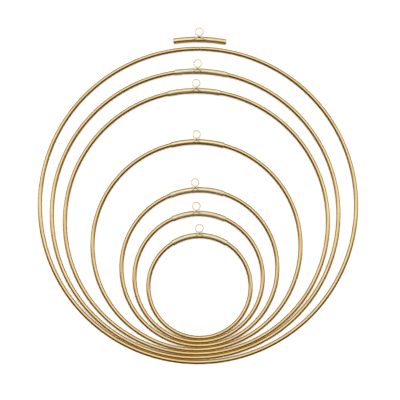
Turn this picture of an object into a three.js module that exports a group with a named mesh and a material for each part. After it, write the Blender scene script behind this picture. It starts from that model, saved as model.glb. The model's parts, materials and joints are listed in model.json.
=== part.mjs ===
// Wreath frame: seven brass wire rings of falling size, nested inside one another and lying flat.
//
// Each ring is one open hoop of round wire. Its two ends meet in a butt gap, which a short curved
// tube, the sleeve, bridges. Welded on the face of the sleeve is a small hanging eye of thin wire,
// bent like a ribbon into a loop with crossed tails. On the largest ring the sleeve has been taken
// off and lies just beyond the gap.
//
// Lengths are in millimetres and angles in degrees. +Z points up from the table and +Y towards the
// sleeves. An angle on a ring is counted from its top, +Y, and grows clockwise as seen from above.

import * as THREE from 'three';

const { cos, sin, PI } = Math;
const radians = THREE.MathUtils.degToRad;

// ---- Driving dimensions ----------------------------------------------------------------------

const wireThickness = 3.6;      // of the ring wire
const buttGap = 0.3;            // between the two ends of a ring
const nestGap = 0.08;           // between neighbouring rings where they rest against each other
const tableGap = 0.02;          // under the rings and sleeves that stand on the table

const sleeveThickness = 5.0;
const sleeveBore = 4.2;

const eyeWire = 1.1;
const eyeRadius = 3.6;          // from the loop's centre to the middle of its wire
const eyeRise = 7.0;            // from the sleeve's centre line out to the loop's centre
const weldGap = 0.05;           // between the eye and the face of the sleeve
const loopOpening = 72;         // the part of the loop's circle that the crossed tails take
const loopStep = 32;            // between two bends of the faceted loop
const crossing = { rise: 3.1, lift: 1.4 };      // lift is that of the upper strand over the lower
const tailBend = { along: 2.2, rise: 0.9 };
const tailTip = { along: 3.3, rise: -0.3 };

const wireSides = 8;
const sleeveSides = 12;
const eyeSides = 6;
const chordError = 0.06;        // the most that a faceted curve may leave its true one

const looseSleeve = { x: 1.7, y: 155.6, turn: 1.0 };    // its middle, from the largest ring's centre

// radius is that of the wire's centre line, shift the ring's place across the nest, turn the place
// of its joint, and eyeShift that of the eye along the sleeve. flatness is height over width.
const sizes = [
  { name: '300', radius: 148.1, flatness: 0.991, shift: 0, turn: 0.5, sleeveLength: 49.5, eyeShift: -0.5 },
  { name: '270', radius: 134.2, flatness: 1, shift: -2.7, turn: 2.4, sleeveLength: 49.0, eyeShift: -3.4 },
  { name: '250', radius: 123.2, flatness: 1, shift: -1.5, turn: -1.0, sleeveLength: 49.0, eyeShift: 2.0 },
  { name: '200', radius: 97.4, flatness: 1, shift: -1.4, turn: 0.7, sleeveLength: 49.5, eyeShift: -1.1 },
  { name: '150', radius: 73.0, flatness: 1, shift: 1.3, turn: -1.7, sleeveLength: 51.0, eyeShift: -1.5 },
  { name: '125', radius: 60.1, flatness: 1, shift: 0.6, turn: 0.1, sleeveLength: 50.0, eyeShift: -2.0 },
  { name: '100', radius: 47.9, flatness: 1, shift: 1.4, turn: 0.2, sleeveLength: 53.0, eyeShift: -0.2 },
];

// ---- Materials -------------------------------------------------------------------------------

const brass = (color, roughness) => new THREE.MeshStandardMaterial({ color, roughness, metalness: 1 });
const wireBrass = brass(0xc79a4b, 0.3);
const sleeveBrass = brass(0xd9bd7a, 0.28);
const eyeBrass = brass(0xe2d3a2, 0.32);

// ---- Shapes ----------------------------------------------------------------------------------

// An arc of a ring's centre line, from one angle to another.
class RingArc extends THREE.Curve {
  constructor(radius, height, from, to) {
    super();
    Object.assign(this, { radius, height, from, to });
  }

  getPoint(t, target = new THREE.Vector3()) {
    const angle = radians(THREE.MathUtils.lerp(this.from, this.to, t));
    return target.set(this.radius * sin(angle), this.height * cos(angle), 0);
  }
}

// Wire bent exactly at the given points, with one side of its section always turned to +Z.
class BentWire extends THREE.Curve {
  constructor(points) {
    super();
    this.points = points;
  }

  getSpacedPoints() {
    return this.points;
  }

  computeFrenetFrames() {
    const last = this.points.length - 1;
    const tangents = this.points.map((_, i) => {
      const before = this.points[Math.max(i - 1, 0)];
      const after = this.points[Math.min(i + 1, last)];
      return after.clone().sub(before).normalize();
    });
    const up = new THREE.Vector3(0, 0, 1);
    const normals = tangents.map((tangent) => up.clone().cross(tangent).normalize());
    const binormals = tangents.map((tangent, i) => tangent.clone().cross(normals[i]));
    return { tangents, normals, binormals };
  }
}

// The corners of a regular section with flats across the given thickness.
function polygon(thickness, sides) {
  const corner = thickness / 2 / cos(PI / sides);
  const points = [];
  for (let i = 0; i < sides; i += 1) {
    const angle = ((2 * i + 1) * PI) / sides;
    points.push(new THREE.Vector2(corner * cos(angle), corner * sin(angle)));
  }
  return points;
}

function sweep(shape, path, steps) {
  return new THREE.ExtrudeGeometry(shape, { steps, bevelEnabled: false, extrudePath: path });
}

// How many straight steps keep an arc within the chord error.
function arcSteps(radius, degrees) {
  const step = 2 * Math.acos(1 - chordError / radius);
  return Math.ceil(radians(degrees) / step);
}

// The angle that a length takes up along a ring.
function angleOf(length, radius) {
  return THREE.MathUtils.radToDeg(length / radius);
}

function ringGeometry({ radius, flatness, turn }) {
  const gap = angleOf(buttGap, radius);
  const arc = new RingArc(radius, radius * flatness, turn + gap / 2, turn + 360 - gap / 2);
  return sweep(new THREE.Shape(polygon(wireThickness, wireSides)), arc, arcSteps(radius, 360 - gap));
}

function sleeveGeometry({ radius, sleeveLength }) {
  const half = angleOf(sleeveLength, radius) / 2;
  const shape = new THREE.Shape(polygon(sleeveThickness, sleeveSides));
  shape.holes.push(new THREE.Path(polygon(sleeveBore, sleeveSides)));
  return sweep(shape, new RingArc(radius, radius, -half, half), arcSteps(radius, 2 * half));
}

// How far the lower strand's middle is above the sleeve's centre line. A corner of its section
// points down at the sleeve.
const eyeLift = sleeveThickness / 2 + weldGap + eyeWire / 2 / cos(PI / eyeSides);

// A point near the sleeve: along it, out from its centre line, and up from the lower strand.
function nearSleeve(radius, along, rise, lift) {
  const angle = along / radius;
  const distance = radius + rise;
  return new THREE.Vector3(distance * sin(angle), distance * cos(angle), eyeLift + lift);
}

// One strand from its tip to the crossing. side is -1 for the tail on the left, 1 on the right.
function tail(radius, side, lift) {
  return [
    nearSleeve(radius, side * tailTip.along, tailTip.rise, 0),
    nearSleeve(radius, side * tailBend.along, tailBend.rise, 0),
    nearSleeve(radius, 0, crossing.rise, lift),
  ];
}

// The loop starts and ends above the crossing, so that each tail runs into its far side.
function eyeGeometry({ radius }) {
  const loop = [];
  for (let angle = loopOpening / 2; angle <= 360 - loopOpening / 2; angle += loopStep) {
    const across = eyeRadius * sin(radians(angle));
    const out = radius + eyeRise - eyeRadius * cos(radians(angle));
    loop.push(new THREE.Vector3(across, out, eyeLift));
  }
  const lower = tail(radius, -1, 0);
  const upper = tail(radius, 1, crossing.lift).reverse();
  const points = [...lower, ...loop, ...upper];
  return sweep(new THREE.Shape(polygon(eyeWire, eyeSides)), new BentWire(points), points.length - 1);
}

// ---- Assembly --------------------------------------------------------------------------------

function named(name, geometry, material) {
  const mesh = new THREE.Mesh(geometry, material);
  mesh.name = name;
  return mesh;
}

// A sleeve with its eye, around the centre of the ring that it fits.
function sleeveWithEye(size) {
  const eye = named(`eye_${size.name}`, eyeGeometry(size), eyeBrass);
  eye.rotation.z = -size.eyeShift / size.radius;

  const group = new THREE.Group();
  group.add(named(`sleeve_${size.name}`, sleeveGeometry(size), sleeveBrass));
  group.add(eye);
  return group;
}

// A ring that stands on its wire at the bottom of the nest and, at the top, on the ends of its
// thicker sleeve, so it leans a little.
function ringInNest(size, centre) {
  const ring = new THREE.Group();
  ring.add(named(`ring_${size.name}`, ringGeometry(size), wireBrass));
  const sleeve = sleeveWithEye(size);
  sleeve.rotation.z = -radians(size.turn);
  ring.add(sleeve);
  const sleeveEnd = cos(size.sleeveLength / size.radius / 2);
  const lean = (sleeveThickness - wireThickness) / 2 / (1 + sleeveEnd);
  ring.position.set(centre.x, centre.y, wireThickness / 2 + tableGap + lean);
  ring.rotation.x = Math.asin(lean / size.radius);
  return ring;
}

function nest() {
  const set = new THREE.Group();
  const [largest, ...others] = sizes;

  const openRing = named(`ring_${largest.name}`, ringGeometry(largest), wireBrass);
  openRing.position.z = wireThickness / 2;
  set.add(openRing);

  const loose = sleeveWithEye(largest);
  const turn = radians(looseSleeve.turn);
  loose.rotation.z = -turn;
  loose.position.set(
    looseSleeve.x - largest.radius * sin(turn),
    looseSleeve.y - largest.radius * cos(turn),
    sleeveThickness / 2 + tableGap,
  );
  set.add(loose);

  const centre = new THREE.Vector2(0, 0);
  let outer = largest;
  for (const size of others) {
    const reach = outer.radius * outer.flatness - size.radius - wireThickness - nestGap;
    const across = size.shift - outer.shift;
    centre.x += across;
    centre.y -= Math.sqrt(reach ** 2 - across ** 2);
    set.add(ringInNest(size, centre));
    outer = size;
  }
  return set;
}

// The origin is under the middle of the whole set, on the table.
const part = nest();
const middle = new THREE.Box3().setFromObject(part, true).getCenter(new THREE.Vector3());
part.position.set(-middle.x, -middle.y, 0);

export default part;
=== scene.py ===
"""Looks of a nested set of brass wreath rings.

Each ring is an open hoop of round wire. A short curved tube, the sleeve, slides over the joint and
carries a hanging eye: a loop of thin flattened wire, its tails crossed and welded on the tube. Every
piece is built finely on the centre lines of its plain counterpart in the frame.

Lengths are in metres. Angles on a ring are in radians from its top, clockwise as seen from above.
"""

import json
import math

import bpy
import numpy as np
from mathutils import Matrix, Vector


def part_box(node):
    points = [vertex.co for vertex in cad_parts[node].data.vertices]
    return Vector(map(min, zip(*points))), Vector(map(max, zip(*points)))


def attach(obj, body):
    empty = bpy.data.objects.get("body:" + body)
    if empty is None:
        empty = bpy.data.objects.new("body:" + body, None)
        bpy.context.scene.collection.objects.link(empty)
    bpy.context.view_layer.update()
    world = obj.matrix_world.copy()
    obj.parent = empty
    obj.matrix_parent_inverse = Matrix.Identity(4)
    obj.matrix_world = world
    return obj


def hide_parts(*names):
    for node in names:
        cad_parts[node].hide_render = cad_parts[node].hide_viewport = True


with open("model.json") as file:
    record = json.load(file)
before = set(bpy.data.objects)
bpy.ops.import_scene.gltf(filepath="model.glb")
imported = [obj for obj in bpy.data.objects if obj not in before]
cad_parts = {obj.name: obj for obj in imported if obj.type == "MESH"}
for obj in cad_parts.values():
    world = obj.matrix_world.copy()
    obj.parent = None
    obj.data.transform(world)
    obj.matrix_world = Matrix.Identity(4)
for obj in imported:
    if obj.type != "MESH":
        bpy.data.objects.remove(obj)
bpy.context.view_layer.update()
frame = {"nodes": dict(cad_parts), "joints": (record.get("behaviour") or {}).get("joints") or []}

# ---- Dimensions ------------------------------------------------------------------------------

MM = 0.001
WIRE = 3.6 * MM                 # across the flats of the frame's eight-sided wire
ROUND_WIRE = 3.66 * MM          # a round one, between its flats and its corners
SLEEVE = 5.0 * MM
BORE = 4.2 * MM
EYE_WIRE = 1.1 * MM
EYE_FLATNESS = 0.66             # thickness over width of the eye's wire
EYE_SQUARENESS = 0.55           # 1 is an ellipse, and smaller values square its corners
EYE_RADIUS = 3.6 * MM           # of the loop, to the middle of its wire
EYE_RISE = 7.0 * MM             # from the sleeve's centre line out to the loop's centre
BUTT_GAP = 0.3 * MM             # between the two ends of a ring

CUT_ROUNDING = 0.35 * MM        # on the deburred ends of a ring's wire
RIM_ROUNDING = 0.14 * MM        # on the cut rims of a sleeve
STATION = 1.5 * MM              # between two sections along a wire or a tube
WIRE_SIDES = 32
TUBE_SIDES = 48
EYE_SIDES = 24

# an eye, in its own millimetres: it is fused and smoothed at that scale
EYE_STATION = 0.25              # between two sections along its wire
EYE_ROUNDING = 0.3              # on the ends of its tails
EYE_SUNK = 0.08                 # how deep its tails sit in the weld
LOOP_LIFT = 0.1                 # of the loop over the tails
CROSSING_RISE = 3.1             # from the sleeve's centre line out to the crossing
CROSSING_LIFTS = (0.1, 0.95)    # of the lower and the upper tail where they cross
BEAD_REACH = 0.74               # of a weld bead's centre, as a share of the tail's reach
BEAD_RADII = (0.9, 0.65, 0.4)
VOXEL = 0.1

# how far the crossed tails of each eye reach along its sleeve, in millimetres
TAIL_REACH = {"300": 6.0, "270": 4.0, "250": 4.0, "200": 3.2, "150": 3.4, "125": 4.5, "100": 3.6}

POLISHED = ("300", "200")       # sleeves with less of the pale satin finish than the others

SIZES = ["300", "270", "250", "200", "150", "125", "100"]
LARGEST = SIZES[0]
LARGEST_JOINT = math.radians(0.5)   # the place of the largest ring's open joint

CAMERA_HEIGHT = 1.5
VIEW_WIDTH = 0.375              # what the picture takes in across the rings
SENSOR = 36.0
LOOK_AT = (1.9 * MM, -3.9 * MM)     # the point of the table under the camera

FLOOR_HALF = 3.0
FLOOR_DROP = 0.05 * MM          # below the frame's own table plane, clear of the round wires
SOFTBOX_POWER = 75.0
SOFTBOX_SIZE = 4.0
SOFTBOX_HEIGHT = 2.0
STUDIO_BRIGHT = (1.10, 1.07, 1.0)
STUDIO_MIDDLE = (0.42, 0.28, 0.12)
STUDIO_DIM = (0.10, 0.048, 0.010)


# ---- Places, read from the frame -------------------------------------------------------------

class Place:
    """A ring's plane: its centre, and unit vectors to its right, to its top and up from it."""

    def __init__(self, centre, up, turn=0.0):
        self.centre = np.array(centre, float)
        self.up = np.array(up, float)
        self.up /= np.linalg.norm(self.up)
        right = np.cross((0.0, 1.0, 0.0), self.up)
        right /= np.linalg.norm(right)
        top = np.cross(self.up, right)
        self.right = right * math.cos(turn) - top * math.sin(turn)
        self.top = right * math.sin(turn) + top * math.cos(turn)

    def angle_of(self, point):
        offset = np.array(point) - self.centre
        return math.atan2(offset @ self.right, offset @ self.top)

    def own_turn(self):
        return math.atan2(-self.right[1], self.top[1])

    def turned(self, angle):
        return Place(self.centre, self.up, self.own_turn() + angle)


def node_points(node):
    return np.array([v.co for v in frame["nodes"][node].data.vertices])


def ring_radii(size):
    """Half the width and half the height of the ring's centre line."""
    low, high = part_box(f"ring_{size}")
    width, height = (high - low)[:2]
    return (width - WIRE) / 2, (height - WIRE) / 2


def ring_place(size):
    for joint in frame["joints"]:
        if joint["child"] == f"sleeve_{size}":
            return Place(joint["pos_m"], joint["axis"])
    low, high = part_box(f"ring_{size}")
    return Place((low + high) / 2, (0, 0, 1))


def middle_and_chord(points):
    """The points' middle, and the unit vector along which they reach furthest."""
    middle = points.mean(0)
    return middle, np.linalg.svd(points - middle, full_matrices=False)[2][0]


def sleeve_half_angle(size, radius):
    points = node_points(f"sleeve_{size}")
    middle, chord = middle_and_chord(points)
    reach = (points - middle) @ chord
    return math.asin((reach.max() - reach.min()) / 2 / (radius + SLEEVE / 2))


def sleeve_place(size, ring, radius, half_angle):
    """The sleeve's own arc, with its middle at the top of the place."""
    middle, chord = middle_and_chord(node_points(f"sleeve_{size}"))
    if size != LARGEST:
        return ring.turned(ring.angle_of(middle))
    chord *= np.sign(chord[0])
    turn = math.atan2(-chord[1], chord[0])
    arc = Place((0, 0, 0), (0, 0, 1), turn)
    arc.centre = middle - arc.top * radius * math.sin(half_angle) / half_angle
    return arc


# ---- Sweeping sections along a centre line ---------------------------------------------------

def arc_line(place, radii, angles):
    """Centre points, tangents, outward and upward directions along a ring's centre line."""
    across, along = np.sin(angles)[:, None], np.cos(angles)[:, None]
    centres = place.centre + radii[0] * across * place.right + radii[1] * along * place.top
    tangents = radii[0] * along * place.right - radii[1] * across * place.top
    tangents /= np.linalg.norm(tangents, axis=1)[:, None]
    ups = np.tile(place.up, (len(angles), 1))
    return centres, tangents, np.cross(ups, tangents), ups


def quarter(steps):
    return np.linspace(0, math.pi / 2, steps)


def rod_profile(length, radius, rounding, spacing):
    """(distance along, radius) of each section of a rod with rounded ends."""
    start = [(rounding * (1 - math.sin(a)), radius - rounding * (1 - math.cos(a)))
             for a in quarter(5)[::-1]]
    count = max(2, round((length - 2 * rounding) / spacing))
    middle = [(x, radius) for x in np.linspace(rounding, length - rounding, count + 1)[1:-1]]
    finish = [(length - x, r) for x, r in start[::-1]]
    return np.array(start + middle + finish)


def tube_profile(length, outer, inner, rounding, spacing):
    """The same for a tube, as one loop: along the outside, over the rim and back along the bore."""
    turn = quarter(4)
    count = max(2, round((length - 2 * rounding) / spacing))
    run = np.linspace(rounding, length - rounding, count + 1)[1:-1]
    rim = [(length - rounding * (1 - math.sin(a)), outer - rounding * (1 - math.cos(a)))
           for a in turn]
    rim_in = [(length - rounding * (1 - math.cos(a)), inner + rounding * (1 - math.sin(a)))
              for a in turn]
    finish = rim + rim_in
    start = [(length - x, r) for x, r in finish[::-1]]
    return np.array(start[len(rim_in):] + [(x, outer) for x in run] + finish
                    + [(x, inner) for x in run[::-1]] + start[:len(rim_in)])


def swept_mesh(name, line, alongs, radii, sides, looped, flatness=1.0, squareness=1.0):
    """A skin over round sections, or over sections with their own flatness and squareness.

    looped joins the last section to the first, as on a tube. The "unbent" attribute holds each
    point's place on the same piece laid out straight, so that a finish can run along it.
    """
    centres, _, outs, ups = line
    around = np.arange(sides) * 2 * math.pi / sides
    across = np.sign(np.cos(around)) * np.abs(np.cos(around)) ** squareness
    above = np.sign(np.sin(around)) * np.abs(np.sin(around)) ** squareness * flatness
    ring = across[None, :, None] * outs[:, None, :] + above[None, :, None] * ups[:, None, :]
    points = centres[:, None, :] + radii[:, None, None] * ring
    straight = np.stack([
        np.repeat(alongs[:, None], sides, 1),
        radii[:, None] * np.cos(around)[None, :],
        radii[:, None] * np.sin(around)[None, :],
    ], axis=-1)

    stations = len(radii)
    vertices = points.reshape(-1, 3).tolist()
    faces = []
    for i in range(stations if looped else stations - 1):
        here, there = i * sides, (i + 1) % stations * sides
        for j in range(sides):
            k = (j + 1) % sides
            faces.append((here + j, here + k, there + k, there + j))
    straight = straight.reshape(-1, 3).tolist()
    if not looped:
        for at_finish, row in ((False, 0), (True, stations - 1)):
            hub = len(vertices)
            vertices.append(centres[row].tolist())
            straight.append([alongs[row], 0.0, 0.0])
            for j in range(sides):
                here, there = row * sides + j, row * sides + (j + 1) % sides
                faces.append((hub, here, there) if at_finish else (hub, there, here))

    mesh = bpy.data.meshes.new(name)
    mesh.from_pydata(vertices, [], faces)
    attribute = mesh.attributes.new("unbent", "FLOAT_VECTOR", "POINT")
    attribute.data.foreach_set("vector", np.array(straight, np.float32).ravel())
    mesh.shade_smooth()
    return mesh


def add_piece(name, mesh, materials, body, replaced):
    piece = bpy.data.objects.new(name, mesh)
    bpy.context.scene.collection.objects.link(piece)
    for material in materials:
        mesh.materials.append(material)
    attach(piece, body)
    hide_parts(replaced)


# ---- Pieces ----------------------------------------------------------------------------------

def ring_piece(size, place, radii, joint_angle, material, cut_material):
    mean = (radii[0] + radii[1]) / 2
    gap = BUTT_GAP / mean
    length = (2 * math.pi - gap) * mean
    profile = rod_profile(length, ROUND_WIRE / 2, CUT_ROUNDING, STATION)
    angles = joint_angle + gap / 2 + profile[:, 0] / mean
    line = arc_line(place, radii, angles)
    mesh = swept_mesh(f"wire_{size}", line, profile[:, 0], profile[:, 1], WIRE_SIDES, looped=False)
    node = f"ring_{size}"
    add_piece(f"wire_{size}", mesh, [material, cut_material], node, node)
    for polygon in mesh.polygons[-2 * WIRE_SIDES:]:     # the two end faces come last
        polygon.material_index = 1


def sleeve_piece(size, place, radius, half_angle, material, body):
    length = 2 * half_angle * radius
    profile = tube_profile(length, SLEEVE / 2, BORE / 2, RIM_ROUNDING, STATION)
    angles = profile[:, 0] / radius - half_angle
    line = arc_line(place, (radius, radius), angles)
    mesh = swept_mesh(f"tube_{size}", line, profile[:, 0], profile[:, 1], TUBE_SIDES, looped=True)
    add_piece(f"tube_{size}", mesh, [material], body, f"sleeve_{size}")


def smooth_line(points, spacing):
    """A Catmull-Rom curve through the points, as points at an even spacing."""
    padded = np.vstack([2 * points[0] - points[1], points, 2 * points[-1] - points[-2]])
    curve = []
    for p0, p1, p2, p3 in zip(padded, padded[1:], padded[2:], padded[3:]):
        for t in np.linspace(0, 1, 12, endpoint=False):
            curve.append(0.5 * (2 * p1 + (p2 - p0) * t + (2 * p0 - 5 * p1 + 4 * p2 - p3) * t ** 2
                                + (3 * p1 - p0 - 3 * p2 + p3) * t ** 3))
    curve.append(points[-1])
    curve = np.array(curve)
    reach = np.concatenate([[0], np.cumsum(np.linalg.norm(np.diff(curve, axis=0), axis=1))])
    even = np.linspace(0, reach[-1], round(reach[-1] / spacing) + 1)
    return np.stack([np.interp(even, reach, curve[:, i]) for i in range(3)], axis=1), even


def eye_route(radius, tail, spread):
    """The eye's centre line in millimetres: x along the sleeve, y out from it, z up from it."""
    lift = (SLEEVE + EYE_WIRE * EYE_FLATNESS) / 2 / MM - EYE_SUNK
    under, over = CROSSING_LIFTS

    def bent(along, rise, up):
        angle = along * MM / radius
        distance = radius / MM + rise
        return (distance * math.sin(angle), distance * math.cos(angle) - radius / MM, lift + up)

    left = [bent(-tail, 0.0, 0), bent(-tail * 0.7, 0.75, 0), bent(-tail * 0.35, 1.9, 0.05),
            bent(0, CROSSING_RISE, under)]
    right = [bent(0, CROSSING_RISE, over), bent(tail * 0.35, 1.9, 0.5), bent(tail * 0.7, 0.75, 0),
             bent(tail, 0.0, 0)]
    loop = []
    for angle in np.radians(np.arange(36, 325, 12)):
        across = EYE_RADIUS / MM * spread * math.sin(angle)
        rise = (EYE_RISE - EYE_RADIUS * math.cos(angle)) / MM
        climb = 0.25 if angle > 1.5 * math.pi else 0.0      # towards the tail that crosses over
        loop.append((across, rise, lift + LOOP_LIFT + climb))
    return np.array(left + loop + right)


def frames_along(points):
    """Tangents and two steady cross directions, carried along without twist."""
    tangents = np.gradient(points, axis=0)
    tangents /= np.linalg.norm(tangents, axis=1)[:, None]
    outs = [np.cross((0, 0, 1.0), tangents[0])]
    for tangent in tangents[1:]:
        out = outs[-1] - tangent * (outs[-1] @ tangent)
        outs.append(out / np.linalg.norm(out))
    outs = np.array(outs)
    return tangents, outs, np.cross(tangents, outs)


def weld_bead(centre, radii, rng):
    """A lumpy little ellipsoid of filler metal."""
    mesh = bpy.data.meshes.new("bead")
    steps = 14
    columns = 2 * steps
    vertices = []
    for i in range(steps + 1):
        polar = math.pi * i / steps
        for j in range(columns):
            turn = math.pi * j / steps
            direction = (math.sin(polar) * math.cos(turn), math.sin(polar) * math.sin(turn),
                         math.cos(polar))
            vertices.append(np.array(direction) * radii)
    vertices = np.array(vertices)
    wave = rng.normal(size=(4, 3)) * 1.6
    swell = sum(np.sin(vertices @ w + phase) for w, phase in zip(wave, rng.uniform(0, 6, 4)))
    vertices = vertices * (1 + 0.05 * swell)[:, None] + centre
    faces = []
    for i in range(steps):
        here, there = i * columns, (i + 1) * columns
        for j in range(columns):
            k = (j + 1) % columns
            faces.append((here + j, there + j, there + k, here + k))
    mesh.from_pydata(vertices.tolist(), [], faces)
    return mesh


def eye_piece(size, place, radius, eye_angle, material, body, rng):
    """A strand and its weld beads, fused and smoothed in millimetres, then put in place."""
    tail = TAIL_REACH[size]
    spread = rng.uniform(0.97, 1.03)        # no two hand-bent loops are equally wide
    points, reach = smooth_line(eye_route(radius, tail, spread), EYE_STATION)
    tangents, outs, ups = frames_along(points)
    profile = rod_profile(reach[-1], EYE_WIRE / 2 / MM, EYE_ROUNDING, EYE_STATION)
    stations = np.interp(profile[:, 0], reach, np.arange(len(reach)))

    def at(rows):
        places = np.arange(len(reach))
        return np.stack([np.interp(stations, places, rows[:, i]) for i in range(3)], axis=1)

    line = (at(points), at(tangents), at(outs), at(ups))
    strand = swept_mesh("strand", line, profile[:, 0], profile[:, 1], EYE_SIDES, looped=False,
                        flatness=EYE_FLATNESS, squareness=EYE_SQUARENESS)
    crest = SLEEVE / 2 / MM
    beads = [weld_bead(np.array([side * tail * BEAD_REACH, 0.0, crest]), np.array(BEAD_RADII), rng)
             for side in (-1, 1)]
    parts = [bpy.data.objects.new("part", mesh) for mesh in [strand, *beads]]
    for part in parts:
        bpy.context.scene.collection.objects.link(part)
    with bpy.context.temp_override(active_object=parts[0], selected_editable_objects=parts):
        bpy.ops.object.join()
    work = parts[0]
    fuse = work.modifiers.new("fuse", "REMESH")
    fuse.mode = "VOXEL"
    fuse.voxel_size = VOXEL
    fuse.adaptivity = 0
    soften = work.modifiers.new("soften", "SMOOTH")
    soften.factor = 0.5
    soften.iterations = 5
    depsgraph = bpy.context.evaluated_depsgraph_get()
    mesh = bpy.data.meshes.new_from_object(work.evaluated_get(depsgraph))
    bpy.data.objects.remove(work)
    mesh.name = f"loop_{size}"

    eye = place.turned(eye_angle)
    to_ring = Matrix.Identity(4)
    for column, axis in enumerate((eye.right, eye.top, eye.up)):
        for row in range(3):
            to_ring[row][column] = axis[row] * MM
    to_ring.translation = Vector(eye.centre + eye.top * radius)
    mesh.transform(to_ring)
    mesh.shade_smooth()
    add_piece(f"loop_{size}", mesh, [material], body, f"eye_{size}")


# ---- Materials -------------------------------------------------------------------------------

class Nodes:
    """Short calls for building a node tree."""

    def __init__(self, tree):
        self.tree = tree

    def new(self, kind, inputs=None, **settings):
        node = self.tree.nodes.new(kind)
        for key, value in settings.items():
            setattr(node, key, value)
        for key, value in (inputs or {}).items():
            if isinstance(value, bpy.types.NodeSocket):
                self.tree.links.new(value, node.inputs[key])
            else:
                node.inputs[key].default_value = value
        return node

    def noise(self, vector, scale, detail=3.0, roughness=0.55):
        node = self.new("ShaderNodeTexNoise", {
            "Vector": vector, "Scale": scale, "Detail": detail, "Roughness": roughness})
        return node.outputs["Fac"]

    def spread(self, value, low, high, to_low, to_high):
        node = self.new("ShaderNodeMapRange", {
            "Value": value, "From Min": low, "From Max": high, "To Min": to_low, "To Max": to_high})
        return node.outputs["Result"]

    def mix(self, factor, first, second):
        node = self.new("ShaderNodeMix", data_type="RGBA")
        sockets = (node.inputs["Factor"], node.inputs[6], node.inputs[7])   # 6, 7: the two colours
        for socket, value in zip(sockets, (factor, first, second)):
            if isinstance(value, bpy.types.NodeSocket):
                self.tree.links.new(value, socket)
            else:
                socket.default_value = value
        return node.outputs[2]

    def math(self, operation, first, second):
        node = self.new("ShaderNodeMath", {0: first, 1: second}, operation=operation)
        return node.outputs[0]


def new_material(name):
    material = bpy.data.materials.new(name)
    material.use_nodes = True
    nodes = Nodes(material.node_tree)
    shader = material.node_tree.nodes["Principled BSDF"]
    return material, nodes, shader


def brass_material(name, bright, deep, tarnish, roughness, straightened=True):
    """Drawn brass: fine lines along the wire, uneven polish, slow changes of tone and a few specks."""
    material, nodes, shader = new_material(name)
    place = nodes.new("ShaderNodeTexCoord").outputs["Object"]
    along, fineness = place, (900, 900, 900)
    if straightened:
        along = nodes.new("ShaderNodeAttribute", attribute_name="unbent").outputs["Vector"]
        fineness = (40, 2600, 2600)
    drawn = nodes.new("ShaderNodeMapping", {"Vector": along, "Scale": fineness}).outputs["Vector"]
    lines = nodes.noise(drawn, 1.0, 4.0, 0.6)
    cloud = nodes.noise(place, 38.0, 4.0)
    speck = nodes.spread(nodes.noise(place, 700.0, 2.0), 0.66, 0.74, 0.0, 1.0)

    tone = nodes.math("ADD", nodes.spread(cloud, 0.35, 0.65, 0.0, 0.6),
                      nodes.spread(lines, 0.3, 0.7, 0.0, 0.4))
    color = nodes.mix(tone, (*bright, 1), (*deep, 1))
    color = nodes.mix(nodes.math("MULTIPLY", speck, 0.35), color, (*tarnish, 1))
    nodes.tree.links.new(color, shader.inputs["Base Color"])

    rough = nodes.math("ADD", nodes.spread(lines, 0.3, 0.7, roughness[0], roughness[1]),
                       nodes.spread(cloud, 0.35, 0.65, -0.03, 0.05))
    rough = nodes.math("ADD", rough, nodes.math("MULTIPLY", speck, 0.15))
    nodes.tree.links.new(rough, shader.inputs["Roughness"])

    bump = nodes.new("ShaderNodeBump", {"Height": lines, "Strength": 0.25, "Distance": 0.02 * MM})
    nodes.tree.links.new(bump.outputs["Normal"], shader.inputs["Normal"])
    shader.inputs["Metallic"].default_value = 1.0
    return material


def cut_material():
    """The sheared face at the end of a wire: duller, with fine parallel marks from the cutter."""
    material, nodes, shader = new_material("cut_face")
    across = nodes.new("ShaderNodeAttribute", attribute_name="unbent").outputs["Vector"]
    stretched = nodes.new("ShaderNodeMapping", {"Vector": across, "Scale": (1, 5200, 500)})
    marks = nodes.noise(stretched.outputs["Vector"], 1.0, 3.0)
    color = nodes.mix(nodes.spread(marks, 0.3, 0.7, 0.0, 1.0),
                      (0.42, 0.30, 0.13, 1), (0.62, 0.47, 0.22, 1))
    nodes.tree.links.new(color, shader.inputs["Base Color"])
    nodes.tree.links.new(nodes.spread(marks, 0.3, 0.7, 0.38, 0.55), shader.inputs["Roughness"])
    bump = nodes.new("ShaderNodeBump", {"Height": marks, "Strength": 0.5, "Distance": 0.05 * MM})
    nodes.tree.links.new(bump.outputs["Normal"], shader.inputs["Normal"])
    shader.inputs["Metallic"].default_value = 1.0
    return material


# ---- Stage -----------------------------------------------------------------------------------

def add_floor():
    """A pale table, lit so strongly that it turns white. Metal doesn't reflect it."""
    half = FLOOR_HALF
    corners = [(-half, -half, 0), (half, -half, 0), (half, half, 0), (-half, half, 0)]
    mesh = bpy.data.meshes.new("floor")
    mesh.from_pydata(corners, [], [(0, 1, 2, 3)])
    floor = bpy.data.objects.new("floor", mesh)
    floor.location.z = -FLOOR_DROP
    bpy.context.scene.collection.objects.link(floor)
    material, _, shader = new_material("table")
    shader.inputs["Base Color"].default_value = (0.92, 0.91, 0.90, 1)
    shader.inputs["Roughness"].default_value = 0.8
    shader.inputs["Specular IOR Level"].default_value = 0.2
    mesh.materials.append(material)
    floor.visible_glossy = False        # the metal shows the studio's lower half instead


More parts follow.
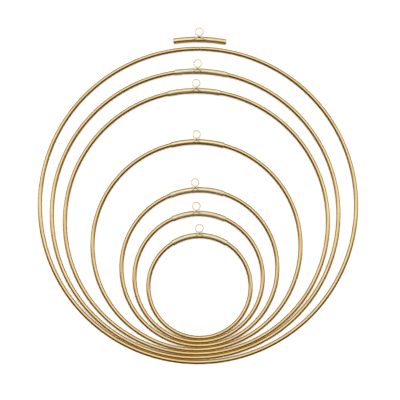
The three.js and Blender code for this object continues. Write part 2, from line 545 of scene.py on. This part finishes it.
def add_world():
    """A studio that is bright beyond the rings' tops and overhead, and warm and dim before them."""
    world = bpy.data.worlds.new("studio")
    bpy.context.scene.world = world
    world.use_nodes = True
    nodes = Nodes(world.node_tree)
    direction = nodes.new("ShaderNodeTexCoord").outputs["Generated"]
    parts = nodes.new("ShaderNodeSeparateXYZ", {"Vector": direction})
    back = nodes.spread(parts.outputs["Y"], -0.36, 0.0, 0.0, 1.0)
    back = nodes.math("MULTIPLY", back, nodes.spread(parts.outputs["Y"], 0.2, 1.0, 1.0, 0.86))
    light = nodes.math("MULTIPLY", back, nodes.spread(parts.outputs["Z"], -0.1, 0.38, 0.05, 1.0))
    ramp = nodes.new("ShaderNodeValToRGB", {"Fac": light})
    stops = ramp.color_ramp.elements
    stops[0].color = (*STUDIO_DIM, 1)
    stops[1].color = (*STUDIO_BRIGHT, 1)
    stops.new(0.5).color = (*STUDIO_MIDDLE, 1)
    world.node_tree.links.new(ramp.outputs["Color"], world.node_tree.nodes["Background"].inputs["Color"])


def add_softbox():
    """A wide soft light overhead. Metal doesn't reflect it, so that it lights the table alone."""
    data = bpy.data.lights.new("softbox", "AREA")
    data.shape = "DISK"
    data.size = SOFTBOX_SIZE
    data.energy = SOFTBOX_POWER
    lamp = bpy.data.objects.new("softbox", data)
    lamp.location = (0, 0, SOFTBOX_HEIGHT)
    lamp.visible_glossy = False
    bpy.context.scene.collection.objects.link(lamp)


def add_view():
    bpy.context.scene.view_settings.view_transform = "Standard"


def add_camera():
    data = bpy.data.cameras.new("camera")
    data.sensor_width = SENSOR
    data.lens = SENSOR * CAMERA_HEIGHT / VIEW_WIDTH
    data.clip_start = 0.01
    data.clip_end = 20.0
    camera = bpy.data.objects.new("camera", data)
    camera.location = (*LOOK_AT, CAMERA_HEIGHT)
    bpy.context.scene.collection.objects.link(camera)
    bpy.context.scene.camera = camera


# ---- The set ---------------------------------------------------------------------------------

def build():
    wire = brass_material("wire_brass", bright=(0.90, 0.74, 0.40), deep=(0.82, 0.60, 0.26),
                          tarnish=(0.20, 0.11, 0.04), roughness=(0.10, 0.20))
    polished = brass_material("sleeve_brass", bright=(1.00, 0.90, 0.56), deep=(0.96, 0.82, 0.44),
                              tarnish=(0.40, 0.30, 0.15), roughness=(0.27, 0.37))
    satin = brass_material("sleeve_satin", bright=(1.00, 0.95, 0.70), deep=(0.97, 0.90, 0.60),
                           tarnish=(0.44, 0.36, 0.20), roughness=(0.42, 0.52))
    thin = brass_material("eye_brass", bright=(1.00, 0.97, 0.82), deep=(0.96, 0.91, 0.72),
                          tarnish=(0.50, 0.44, 0.34), roughness=(0.36, 0.48), straightened=False)
    cut = cut_material()
    rng = np.random.default_rng(7)
    for size in SIZES:
        ring = ring_place(size)
        radii = ring_radii(size)
        half_angle = sleeve_half_angle(size, radii[0])
        sleeve = sleeve_place(size, ring, radii[0], half_angle)
        body = "loose_sleeve_300" if size == LARGEST else f"sleeve_{size}"
        joint_angle = LARGEST_JOINT if size == LARGEST else sleeve.own_turn()
        finish = polished if size in POLISHED else satin
        ring_piece(size, ring, radii, joint_angle, wire, cut)
        sleeve_piece(size, sleeve, radii[0], half_angle, finish, body)
        eye_angle = sleeve.angle_of(node_points(f"eye_{size}").mean(0))
        eye_piece(size, sleeve, radii[0], eye_angle, thin, body, rng)


add_camera()
add_view()
add_world()
add_softbox()
add_floor()
build()
